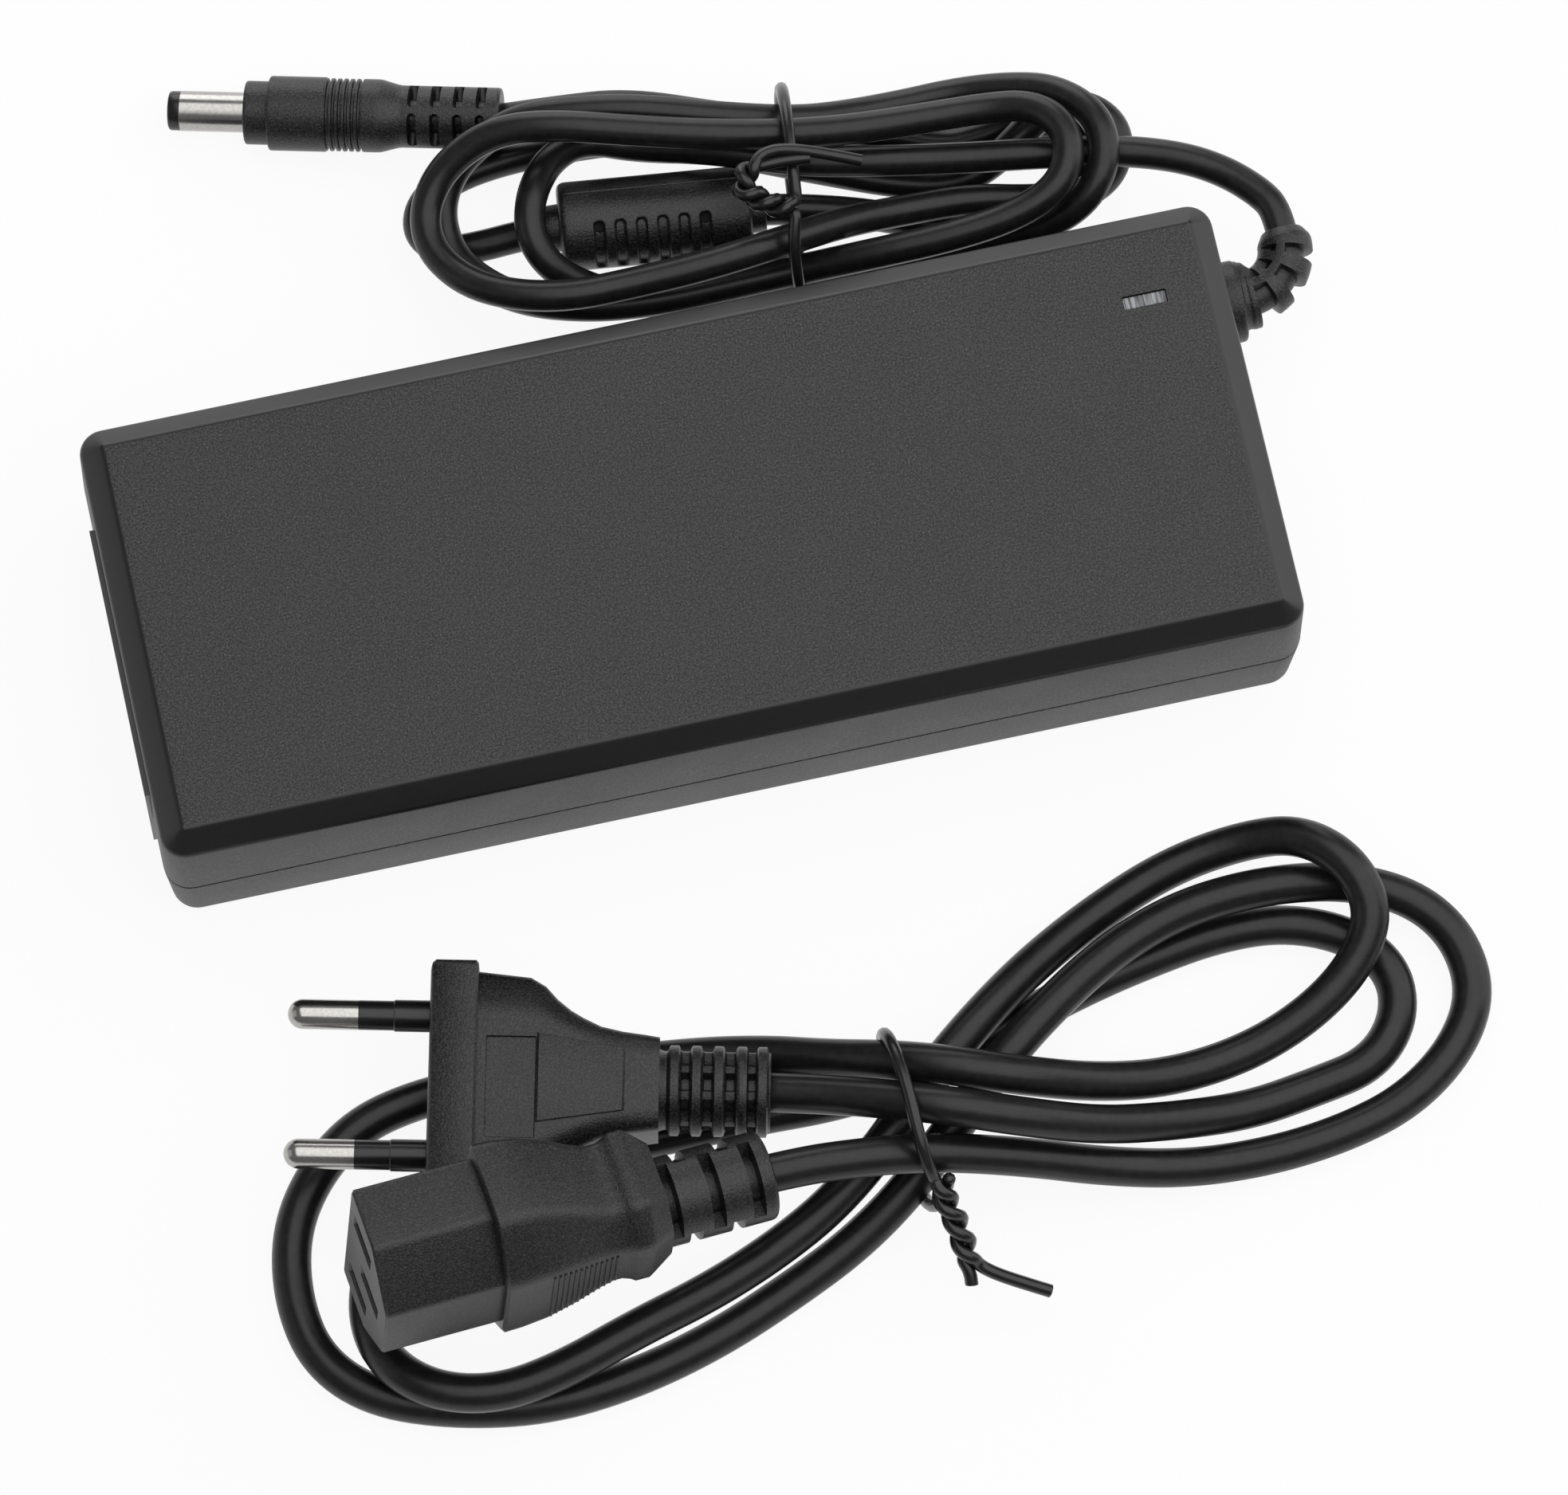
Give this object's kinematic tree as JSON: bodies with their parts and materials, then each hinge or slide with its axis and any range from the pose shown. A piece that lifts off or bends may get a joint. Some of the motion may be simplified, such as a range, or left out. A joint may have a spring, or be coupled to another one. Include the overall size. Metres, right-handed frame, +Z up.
{
  "type": "laptop power adapter",
  "caption": "Slim mains power brick with a recessed three-pin inlet, a hanked DC cord with choke and barrel plug, and a detached mains lead.",
  "frame": {"origin": "centre of the brick's outline on the plane it stands on, cords and plugs not counted", "axes": "+X along the brick towards the DC cord's gland, +Y towards the side where the DC cord is laid, +Z up through the face with the light window"},
  "size_m": [0.1709, 0.1925, 0.0391],
  "materials": {
    "cover_black": "fine grain, matte",
    "lamp_window": "cloudy, satin",
    "inlet_black": "satin",
    "nickel": "satin nickel plate",
    "board_green": "varnished glass laminate",
    "sheet_black": "satin",
    "bare_aluminium": "satin",
    "lamp_clear": "clear",
    "fuse_brown": "satin",
    "varistor_blue": "satin",
    "capacitor_yellow": "satin",
    "ferrite": "matte",
    "copper_wire": "varnished copper",
    "epoxy_black": "matte",
    "capacitor_sleeve": "satin",
    "bobbin_cream": "satin",
    "tape_yellow": "satin",
    "wire_red": "satin",
    "plug_black": "fine grain, matte",
    "cord_black": "soft satin",
    "tip_black": "satin",
    "tie_black": "satin"
  },
  "bodies": {
    "adapter": {"upper_cover": "cover_black", "lower_cover": "cover_black", "led_window": "lamp_window", "inlet_body": "inlet_black", "inlet_pins": "nickel", "circuit_board": "board_green", "insulation_sheet": "sheet_black", "lower_heat_spreader": "bare_aluminium", "upper_heat_spreader": "bare_aluminium", "led_lamp": "lamp_clear", "fuse": "fuse_brown", "surge_varistor": "varistor_blue", "x_capacitor": "capacitor_yellow", "common_mode_core": "ferrite", "common_mode_winding": "copper_wire", "bridge_rectifier": "epoxy_black", "bulk_capacitor": "capacitor_sleeve", "boost_core": "ferrite", "boost_winding": "copper_wire", "primary_heatsink": "bare_aluminium", "switching_transistor": "epoxy_black", "transformer_core": "ferrite", "transformer_bobbin": "bobbin_cream", "transformer_winding": "tape_yellow", "y_capacitor": "varistor_blue", "optocoupler": "epoxy_black", "control_chip": "epoxy_black", "secondary_heatsink": "bare_aluminium", "output_rectifier": "epoxy_black", "output_capacitors": "capacitor_sleeve", "output_choke": "copper_wire", "inlet_wires": "wire_red", "output_wires": "wire_red", "dc_bend_relief": "plug_black", "dc_cord_tail": "cord_black", "dc_cord_hank": "cord_black", "dc_cord_plug_end": "cord_black", "choke_housing": "plug_black", "ferrite_core": "ferrite", "dc_plug_body": "plug_black", "dc_plug_barrel": "nickel", "dc_plug_tip_ring": "tip_black", "dc_plug_insulator": "tip_black", "dc_plug_contact": "nickel", "dc_cord_tie": "tie_black"},
    "mains_lead": {"mains_plug_body": "plug_black", "mains_plug_pins": "nickel", "mains_plug_sleeves": "tip_black", "connector_body": "plug_black", "connector_contacts": "nickel", "mains_cord_plug_end": "cord_black", "mains_cord_hank": "cord_black", "mains_cord_connector_end": "cord_black", "mains_cord_tie": "tie_black"}
  },
  "joints": [
    {"name": "mains_lead_lift", "type": "slide", "parent": "adapter", "child": "mains_lead", "axis": [0, 0, 1], "range_m": [0, 0.08]}
  ]
}
